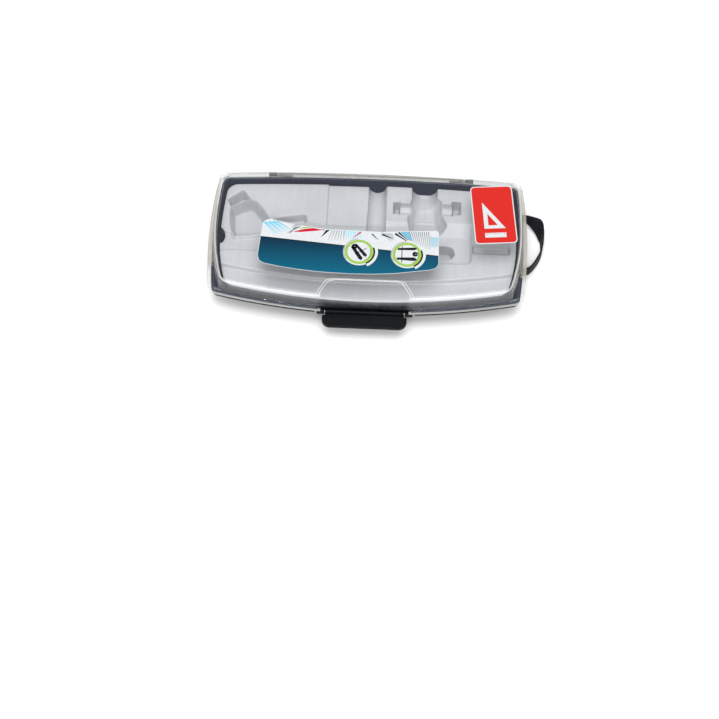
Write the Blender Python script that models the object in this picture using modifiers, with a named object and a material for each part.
"""Flat instrument case: dark moulded base, clear hinged lid, grey formed tray, folding front latch and hanging strap.

Metres, +Z up, +X to the right, hinge at +Y, latch at -Y. The origin is the middle of the base's flat underside.
"""

import math

import bmesh
import bpy
from mathutils import Vector

MM = 0.001

# Outline of the case at its parting rim: four bowed edges and round corners.
HALF_LENGTH = 88.0 * MM
HALF_DEPTH = 40.3 * MM
SIDE_BOW = 2.8 * MM
FRONT_BOW = 10.5 * MM
BACK_BOW = 3.0 * MM

# Heights.
RIM_TOP = 12.0 * MM
LID_BOTTOM = 12.3 * MM
LID_TOP = 26.0 * MM
FLOOR = 1.6 * MM
TRAY_TOP = 13.0 * MM
TRAY_WALL = 0.7 * MM
TRAY_SKIRT = 9.2 * MM
LID_WALL = 1.4 * MM

# Lid hinge: barrel on the lid between two lugs of the base, with a steel pin at each end.
HINGE_Y = 43.6 * MM
HINGE_Z = 10.6 * MM
HINGE_R = 1.9 * MM
HINGE_HALF = 54.4 * MM
LUG_IN, LUG_OUT = 55.0 * MM, 60.0 * MM
PIN_R = 0.75 * MM
PIN_BORE = 1.05 * MM

# Front latch: flap on a steel rod between two lugs of the base.
LATCH_Y = -48.6 * MM
LATCH_Z = 10.6 * MM
LATCH_HALF = 23.6 * MM
LATCH_TIP = -59.0 * MM
LATCH_THICK = 1.8 * MM
LATCH_BARREL_HALF = 22.0 * MM
LATCH_PIN_R = 0.6 * MM
LATCH_BORE = 0.9 * MM

# Strap: flat band on edge, a closed loop through two slots of the right-hand wall.
STRAP_THICK = 1.2 * MM
STRAP_LOW, STRAP_HIGH = 2.1 * MM, 8.7 * MM

for old in list(bpy.data.objects):
    bpy.data.objects.remove(old, do_unlink=True)

parts = bpy.data.collections.new("instrument_case")
cutters = bpy.data.collections.new("cutters")
bpy.context.scene.collection.children.link(parts)
bpy.context.scene.collection.children.link(cutters)


def material(name, colour, roughness, metallic=0.0, alpha=1.0):
    mat = bpy.data.materials.new(name)
    mat.use_nodes = True
    shader = mat.node_tree.nodes["Principled BSDF"]
    shader.inputs["Base Color"].default_value = (*colour, 1.0)
    shader.inputs["Roughness"].default_value = roughness
    shader.inputs["Metallic"].default_value = metallic
    shader.inputs["Alpha"].default_value = alpha
    return mat


def place(name, bm, mat=None, smooth=True):
    """Turns a bmesh into an object: a part when it has a material, otherwise a cutter."""
    bm.normal_update()
    bmesh.ops.recalc_face_normals(bm, faces=bm.faces)
    if bm.calc_volume(signed=True) < 0:
        bmesh.ops.reverse_faces(bm, faces=bm.faces)
    mesh = bpy.data.meshes.new(name)
    bm.to_mesh(mesh)
    bm.free()
    ob = bpy.data.objects.new(name, mesh)
    if mat is None:
        cutters.objects.link(ob)
        ob.hide_render = True
        ob.display_type = "WIRE"
    else:
        parts.objects.link(ob)
        mesh.materials.append(mat)
        if smooth:
            mesh.shade_smooth()
            mesh.set_sharp_from_angle(angle=math.radians(35))
    return ob


def combine(ob, other, operation):
    mod = ob.modifiers.new(operation.lower() + "_" + other.name, "BOOLEAN")
    mod.operation = operation
    mod.solver = "EXACT"
    mod.object = other


def cut(ob, *others):
    for other in others:
        combine(ob, other, "DIFFERENCE")


def join(ob, *others):
    for other in others:
        combine(ob, other, "UNION")


def box(name, low, high):
    """A cutter or add-on block between two corners given in millimetres."""
    bm = bmesh.new()
    bmesh.ops.create_cube(bm, size=1.0)
    size = [(h - l) * MM for l, h in zip(low, high)]
    mid = [(h + l) / 2 * MM for l, h in zip(low, high)]
    bmesh.ops.scale(bm, vec=size, verts=bm.verts)
    bmesh.ops.translate(bm, vec=mid, verts=bm.verts)
    return place(name, bm)


def rod(name, x0, x1, y, z, radius, mat=None, segments=16):
    """A round bar along X; all in metres."""
    bm = bmesh.new()
    bmesh.ops.create_cone(
        bm, cap_ends=True, segments=segments, radius1=radius, radius2=radius, depth=x1 - x0
    )
    for v in bm.verts:
        v.co = Vector((v.co.z + (x0 + x1) / 2, v.co.x + y, v.co.y + z))
    return place(name, bm, mat)


def prism(name, outline, low, high, along="Z", mat=None):
    """An outline in millimetres made solid between two levels, along Z or along Y."""
    bm = bmesh.new()
    if along == "Z":
        ring = [bm.verts.new((x * MM, y * MM, low * MM)) for x, y in outline]
        step = (0, 0, (high - low) * MM)
    else:
        ring = [bm.verts.new((x * MM, low * MM, z * MM)) for x, z in outline]
        step = (0, (high - low) * MM, 0)
    raised = bmesh.ops.extrude_face_region(bm, geom=[bm.faces.new(ring)])
    bmesh.ops.translate(
        bm, vec=step, verts=[g for g in raised["geom"] if isinstance(g, bmesh.types.BMVert)]
    )
    return place(name, bm, mat, smooth=False)


def loft(name, rings, mat=None):
    """Joins rings of equal point count into one closed skin with flat ends."""
    bm = bmesh.new()
    loops = [[bm.verts.new(p) for p in ring] for ring in rings]
    count = len(loops[0])
    for a, b in zip(loops, loops[1:]):
        for i in range(count):
            j = (i + 1) % count
            bm.faces.new((a[i], a[j], b[j], b[i]))
    bm.faces.new(reversed(loops[0]))
    bm.faces.new(loops[-1])
    return place(name, bm, mat)


def case_ring(front, side, back, radius, z, taper=0.0):
    """The case's outline, pulled in by an amount in millimetres on each edge, at height z in metres.

    A taper bows the sides' front halves in by that much more at the front corners.
    """
    r = radius * MM

    def front_y(x):
        return -(HALF_DEPTH + FRONT_BOW * (1 - (x / HALF_LENGTH) ** 2)) + front * MM + r

    def back_y(x):
        return HALF_DEPTH + BACK_BOW * (1 - (x / HALF_LENGTH) ** 2) - back * MM - r

    def side_bow(y):
        return SIDE_BOW + (taper * MM if y < 0 else 0.0)

    def side_x(y):
        return HALF_LENGTH + SIDE_BOW - side_bow(y) * (y / HALF_DEPTH) ** 2 - side * MM - r

    def corner(edge):
        x = side_x(HALF_DEPTH if edge is back_y else -HALF_DEPTH)
        for _ in range(20):
            y = edge(x)
            x = side_x(y)
        return x, y

    xf, yf = corner(front_y)
    xb, yb = corner(back_y)

    def run(a, b, n):
        return [a + (b - a) * i / n for i in range(n + 1)]

    edges = [
        [((x, front_y(x)), (2 * FRONT_BOW * x / HALF_LENGTH**2, -1.0)) for x in run(-xf, xf, 12)],
        [((side_x(y), y), (1.0, 2 * side_bow(y) * y / HALF_DEPTH**2)) for y in run(yf, yb, 6)],
        [((x, back_y(x)), (2 * BACK_BOW * x / HALF_LENGTH**2, 1.0)) for x in run(xb, -xb, 8)],
        [((-side_x(y), y), (-1.0, 2 * side_bow(y) * y / HALF_DEPTH**2)) for y in run(yb, yf, 6)],
    ]
    points = []
    for k, edge in enumerate(edges):
        for (x, y), n in edge:
            n = Vector(n).normalized()
            points.append((x + n.x * r, y + n.y * r, z))
        (x, y), n1 = edge[-1]
        n2 = edges[(k + 1) % 4][0][1]
        a1 = math.atan2(n1[1], n1[0])
        a2 = math.atan2(n2[1], n2[0])
        while a2 < a1:
            a2 += 2 * math.pi
        for i in range(1, 4):
            a = a1 + (a2 - a1) * i / 4
            points.append((x + r * math.cos(a), y + r * math.sin(a), z))
    return points


def rounded(x0, x1, y0, y1, radius, steps=3):
    """A rectangle with round corners, in millimetres."""
    points = []
    for cx, cy, start in (
        (x1 - radius, y0 + radius, -90),
        (x1 - radius, y1 - radius, 0),
        (x0 + radius, y1 - radius, 90),
        (x0 + radius, y0 + radius, 180),
    ):
        for i in range(steps + 1):
            a = math.radians(start + 90 * i / steps)
            points.append((cx + radius * math.cos(a), cy + radius * math.sin(a)))
    return points


def widened(outline, amount):
    """The outline moved outwards by an amount, for an outline that runs anticlockwise."""
    out = []
    count = len(outline)
    for i in range(count):
        a, b, c = (Vector(outline[(i + k) % count]) for k in (-1, 0, 1))
        n1 = Vector(((b - a).y, -(b - a).x)).normalized()
        n2 = Vector(((c - b).y, -(c - b).x)).normalized()
        mid = (n1 + n2).normalized()
        out.append(tuple(b + mid * (amount / max(0.5, mid.dot(n1)))))
    return out


def half_round(centre, level, radius, steps=8):
    """A half circle below a level, with straight sides above it, in the XZ plane."""
    points = [(centre + radius, level + 3.0), (centre - radius, level + 3.0)]
    for i in range(steps + 1):
        a = math.radians(180 + 180 * i / steps)
        points.append((centre + radius * math.cos(a), level + radius * math.sin(a)))
    return points


base_plastic = material("moulded_black_plastic", (0.031, 0.042, 0.062), 0.42)
clear_plastic = material("clear_polystyrene", (0.92, 0.93, 0.92), 0.06, 0.0, 0.25)
tray_plastic = material("formed_grey_plastic", (0.62, 0.63, 0.66), 0.38)
steel = material("steel_wire", (0.55, 0.56, 0.58), 0.3, 1.0)
latch_plastic = material("latch_black_plastic", (0.012, 0.014, 0.018), 0.4)
band = material("woven_black_band", (0.012, 0.013, 0.016), 0.85)
printed_film = material("printed_film", (0.02, 0.16, 0.24), 0.35)
red_film = material("red_film", (0.82, 0.03, 0.02), 0.35)

# Base: one skin from the underside up the outside, over the rim and the locating lip, and down to the floor.
base_sections = [
    (8.6, 8.6, 4.0, 0.0),
    (7.2, 7.2, 5.0, 0.5 * MM),
    (6.4, 6.4, 5.0, 2.0 * MM),
    (4.0, 4.2, 4.0, 9.4 * MM),
    (1.0, 2.2, 4.6, 9.8 * MM),
    (0.6, 1.8, 4.8, 10.3 * MM),
    (0.6, 1.8, 4.8, 11.6 * MM),
    (0.9, 2.1, 4.6, RIM_TOP),
    (2.0, 3.0, 4.2, RIM_TOP),
    (2.1, 3.1, 4.2, 14.0 * MM),
    (3.3, 4.3, 3.8, 14.0 * MM),
    (5.4, 5.4, 3.6, 9.0 * MM),
    (7.8, 7.8, 4.0, 2.4 * MM),
    (8.8, 8.8, 3.6, FLOOR),
]
base = loft(
    "base_shell",
    [case_ring(i, side, i, r, z) for i, side, r, z in base_sections],
    base_plastic,
)
for sign, side in ((-1, "left"), (1, "right")):
    lug = rod(
        "hinge_lug_" + side,
        *sorted((sign * LUG_IN, sign * LUG_OUT)),
        HINGE_Y,
        HINGE_Z,
        HINGE_R,
    )
    web = box(
        "hinge_web_" + side,
        (min(sign * 55.0, sign * 60.0), 39.0, 9.2),
        (max(sign * 55.0, sign * 60.0), 43.6, 11.7),
    )
    ear = box(
        "latch_ear_" + side,
        (min(sign * 22.5, sign * 26.8), -50.1, 8.9),
        (max(sign * 22.5, sign * 26.8), -45.6, 11.9),
    )
    join(base, web, lug, ear)
cut(
    base,
    box("hinge_recess", (-54.95, 41.35, 8.0), (54.95, 48.0, 13.0)),
    box("latch_recess", (-22.45, -56.0, 7.0), (22.45, -46.7, 12.45)),
    box("latch_sweep", (-23.9, -56.0, 12.1), (23.9, -48.3, 14.6)),
    rod("hinge_bore_left", -61 * MM, -54 * MM, HINGE_Y, HINGE_Z, PIN_BORE, segments=12),
    rod("hinge_bore_right", 54 * MM, 61 * MM, HINGE_Y, HINGE_Z, PIN_BORE, segments=12),
    rod("latch_bore", -28 * MM, 28 * MM, LATCH_Y, LATCH_Z, LATCH_BORE, segments=12),
    box("strap_slot_back", (78.0, 22.1, 1.85), (95.0, 24.3, 9.0)),
    box("strap_slot_front", (78.0, -15.1, 1.85), (95.0, -12.9, 9.0)),
)

# Lid: clear shell with a narrow ledge around a smaller upper box.
lid_outer = [
    (0.0, 0.0, 0.0, 5.0, LID_BOTTOM),
    (0.0, 0.0, 0.0, 5.0, 15.5 * MM),
    (0.3, 0.6, 0.6, 5.0, 16.3 * MM),
    (0.7, 2.6, 3.2, 7.0, 16.6 * MM, 4.0),
    (1.0, 3.6, 4.8, 7.0, 24.4 * MM, 4.0),
    (1.6, 4.2, 5.4, 6.8, 25.6 * MM, 4.0),
    (2.8, 5.2, 6.6, 6.4, LID_TOP, 4.0),
]
lid_inner = [
    (1.4, 1.4, 1.4, 3.8, 11.0 * MM),
    (1.4, 1.4, 1.4, 3.8, 14.8 * MM),
    (2.1, 4.0, 4.6, 5.8, 15.2 * MM, 4.0),
    (2.4, 5.0, 6.2, 5.8, 23.4 * MM, 4.0),
    (3.6, 6.4, 7.6, 5.2, LID_TOP - LID_WALL, 4.0),
]
lid = loft("lid_shell", [case_ring(*s) for s in lid_outer], clear_plastic)
hollow = loft("lid_hollow", [case_ring(*s) for s in lid_inner])


def scoop(name, add):
    """The thumb scoop in the lid's front: an upright set-back that runs out in a slope on the top face."""
    low, shoulder, high = (12.0 - add, 19.4 - 0.7 * add, 26.4 - add)
    x, y = 24.6 + add, -48.2 + add
    top = [(-x, -62), (x, -62), (x, -45.2 + add), (16.4 + add, -39.4 + add), (-16.4 - add, -39.4 + add)]
    top.append((-x, -45.2 + add))
    bottom = [(-x, -62), (x, -62), (x, y), (17.0 + add, y), (-17.0 - add, y), (-x, y)]
    rings = [(bottom, low), (bottom, shoulder), (top, high)]
    if add:
        rings.append((top, 27.0))
    return loft(name, [[(px * MM, py * MM, z * MM) for px, py in ring] for ring, z in rings])


cut(hollow, scoop("scoop_inside", 1.4))
cut(lid, scoop("scoop_outside", 0.0), hollow, box("rim_notch", (-26.2, -62, 10), (26.2, -44.0, 15.3)))
join(
    lid,
    box("hinge_leaf", (-54.35, 41.8, 10.6), (54.35, 43.6, 13.6)),
    rod("hinge_barrel", -HINGE_HALF, HINGE_HALF, HINGE_Y, HINGE_Z, HINGE_R),
)
cut(
    lid,
    rod("barrel_bore_left", -56 * MM, -46 * MM, HINGE_Y, HINGE_Z, PIN_BORE, segments=12),
    rod("barrel_bore_right", 46 * MM, 56 * MM, HINGE_Y, HINGE_Z, PIN_BORE, segments=12),
)

rod("hinge_pin_left", -59.7 * MM, -46.4 * MM, HINGE_Y, HINGE_Z, PIN_R, steel, 12)
rod("hinge_pin_right", 46.4 * MM, 59.7 * MM, HINGE_Y, HINGE_Z, PIN_R, steel, 12)

# Tray: thin plate with a short skirt; each recess is a pocket with its own thin walls.
T = TRAY_TOP / MM
W = TRAY_WALL / MM
tray = loft(
    "instrument_tray",
    [
        case_ring(9.8, 6.7, 7.2, 7.0, TRAY_SKIRT, 5.8),
        case_ring(9.3, 6.2, 6.7, 7.0, TRAY_TOP - 0.4 * MM, 5.8),
        case_ring(9.6, 6.5, 7.0, 6.7, TRAY_TOP, 5.8),
    ],
    tray_plastic,
)
tray_space = loft(
    "tray_space",
    [
        case_ring(10.5, 7.4, 7.9, 6.3, TRAY_SKIRT - 1 * MM, 5.8),
        case_ring(10.05, 6.95, 7.45, 6.3, TRAY_TOP - TRAY_WALL, 5.8),
    ],
)
cut(tray, tray_space)

CAP = [(-82.2, 23.9), (-80.3, 19.2), (-69.6, 24.8), (-73.7, 30.5)]
BODY = [(-80.3, 11.7), (-79.6, 3.6), (-76.5, -0.8), (-62.4, 0.4), (-58.6, 4.0), (-57.2, 11.4)]
BODY += [(-60.4, 18.0), (-64.5, 22.4), (-69.6, 25.0), (-80.2, 19.6)]
ARM = [(-62.0, 5.6), (-42.2, 6.7), (-37.4, 8.6), (-35.0, 11.2), (-38.0, 14.6), (-60.0, 12.6)]
LEGS = [(-30.0, -11.2), (45.2, -11.2)]
LEGS += [(45.2 + 5.2 * math.sin(a), -6.0 - 5.2 * math.cos(a)) for a in (math.pi * k / 6 for k in range(1, 6))]
LEGS += [(45.2, -0.8), (-30.0, -0.8)]

# name, outline, depth of its floor below the tray's top
pockets = [
    ("holder_cap", CAP, 6.5),
    ("holder_body", BODY, 8.5),
    ("holder_arm", ARM, 4.5),
    ("compass_bed", rounded(-56.0, 59.6, -15.4, 5.0, 4.0), 3.5),
    ("compass_head", rounded(-55.0, -27.0, -14.6, 2.6, 5.0), 10.3),
    ("compass_legs", LEGS, 10.3),
    ("compass_tips", rounded(58.0, 81.2, -8.0, -1.4, 1.5), 3.0),
    ("tube_end_left", rounded(13.9, 18.0, 18.0, 25.9, 0.8, 2), 7.0),
    ("tube_end_right", rounded(47.8, 52.7, 18.7, 27.6, 0.8, 2), 7.0),
    ("tube_run", rounded(17.0, 49.0, 17.6, 25.4, 0.8, 2), 3.6),
    ("finger_slope", rounded(41.0, 59.0, 2.0, 12.2, 2.0), 2.2),
]
tray_inner = []
for name, outline, depth in pockets:
    join(tray, prism(name + "_shell", widened(outline, W), T - depth - W, T - 0.35))
    tray_inner.append(prism(name + "_space", outline, T - depth, T + 2))
for name, centre, level, radius, low, high in (
    ("spindle_trough", 4.0, T - 1.2, 5.3, -17.0, 33.8),
    ("tube_trough", 31.8, T, 7.4, 11.5, 33.9),
):
    shell = prism(name + "_shell", half_round(centre, level, radius + W), low - W, high, "Y")
    cut(shell, box(name + "_trim", (centre - 20, -60, T - 0.35), (centre + 20, 60, T + 9)))
    join(tray, shell)
    tray_inner.append(prism(name + "_space", half_round(centre, level, radius), low, 40.0, "Y"))
join(tray, box("middle_step_shell", (-24.7, 8.3, T - 1.2 - W), (10.4, 34.3, T - 0.35)))
tray_inner.append(box("middle_step_space", (-24.0, 9.0, T - 1.2), (9.4, 40.0, T + 2)))

crease = [(-90 + 12 * i, -20.6 - 9.6 * (1 - ((-90 + 12 * i) / 90) ** 2)) for i in range(16)]
shelf_shell = prism("front_shelf_shell", [(-90, -58), (90, -58)] + [(x, y + W) for x, y in reversed(crease)], T - 2.0 - W, T - 0.35)
combine(
    shelf_shell,
    loft(
        "shelf_limit",
        [case_ring(6.8, 6.8, 8.6, 6.5, 8 * MM), case_ring(6.6, 6.6, 8.4, 6.5, 14 * MM)],
    ),
    "INTERSECT",
)
join(tray, shelf_shell)
tray_inner.append(prism("front_shelf_space", [(-95, -60), (95, -60)] + [(x * 95 / 90, y) for x, y in reversed(crease)], T - 2.0, T + 2))
cut(tray, *tray_inner)
notch = bmesh.new()
bmesh.ops.create_cone(notch, cap_ends=True, segments=20, radius1=5 * MM, radius2=5 * MM, depth=12 * MM)
bmesh.ops.translate(notch, vec=(-87.2 * MM, 1.0 * MM, 13 * MM), verts=notch.verts)
cut(tray, place("thumb_notch", notch))

# Front latch: flap with round front corners, a barrel at its root and a low hooked edge.
flap = [(-LATCH_HALF / MM, -50.9), (-LATCH_HALF / MM, -54.6)]
for cx, start in ((-LATCH_HALF / MM + 4.4, 180), (LATCH_HALF / MM - 4.4, 270)):
    for i in range(5):
        a = math.radians(start + 90 * i / 4)
        flap.append((cx + 4.4 * math.cos(a), LATCH_TIP / MM + 4.4 + 4.4 * math.sin(a)))
flap += [(LATCH_HALF / MM, -54.6), (LATCH_HALF / MM, -50.9)]
latch = prism(
    "front_latch", flap, (LATCH_Z - LATCH_THICK) / MM, LATCH_Z / MM, mat=latch_plastic
)
join(
    latch,
    box("latch_root", (-21.9, -51.2, 8.8), (21.9, -48.6, 10.6)),
    rod("latch_barrel", -LATCH_BARREL_HALF, LATCH_BARREL_HALF, LATCH_Y, LATCH_Z, 1.55 * MM),
    box("latch_hook", (-15.0, -58.8, 10.2), (15.0, -58.0, 11.4)),
)
cut(latch, rod("latch_hole", -24 * MM, 24 * MM, LATCH_Y, LATCH_Z, LATCH_BORE, segments=12))
rod("latch_pin", -26.4 * MM, 26.4 * MM, LATCH_Y, LATCH_Z, LATCH_PIN_R, steel, 10)

# Strap: the loop stands out from the right side and closes behind the wall.
strap_path = [(81.0, -12.0), (81.2, -13.5), (82.6, -14.0), (88.5, -14.0), (91.8, -13.2)]
strap_path += [(94.6, -10.6), (97.2, -6.2), (99.3, -0.8), (100.6, 5.2), (101.2, 12.0)]
strap_path += [(100.9, 18.0), (99.4, 21.4), (96.4, 22.9), (91.0, 23.2), (82.6, 23.2), (81.2, 22.7), (81.0, 21.2)]
bm = bmesh.new()
lower = [bm.verts.new((x * MM, y * MM, STRAP_LOW)) for x, y in strap_path]
edges = [bm.edges.new((lower[i], lower[(i + 1) % len(lower)])) for i in range(len(lower))]
raised = bmesh.ops.extrude_edge_only(bm, edges=edges)
bmesh.ops.translate(
    bm,
    vec=(0, 0, STRAP_HIGH - STRAP_LOW),
    verts=[g for g in raised["geom"] if isinstance(g, bmesh.types.BMVert)],
)
strap = place("hang_strap", bm, band)
solid = strap.modifiers.new("thickness", "SOLIDIFY")
solid.thickness = STRAP_THICK
solid.offset = 0.0
solid.use_even_offset = True

# Printed film on the lid's top face, and a plain red patch at its back corner.
film_low, film_high = LID_TOP / MM + 0.3, LID_TOP / MM + 0.6
film = [(-60.4, -24.0), (-59.6, -26.6), (-57.6, -28.2)]
film += [(x, -33.2 + 5.0 * ((x + 8) / 50) ** 2) for x in (-48, -38, -28, -18, -8, 2, 12, 22, 32)]
film += [(37.4, -28.6), (39.8, -26.8), (40.5, -24.0), (40.5, -4.0), (36.0, -0.6), (30.0, 0.4)]
film += [(-50.0, 1.0), (-57.0, 1.4), (-59.2, 0.2), (-59.4, -8.0)]
prism("front_label", film, film_low, film_high, mat=printed_film)
patch = [(x, y) for x, y in rounded(-12.0, 12.0, -19.8, 19.8, 2.6)]
turn = math.radians(5.0)
patch = [
    (70.8 + x * math.cos(turn) - y * math.sin(turn), 10.4 + x * math.sin(turn) + y * math.cos(turn))
    for x, y in patch
]
prism("corner_sticker", patch, film_low, film_high, mat=red_film)
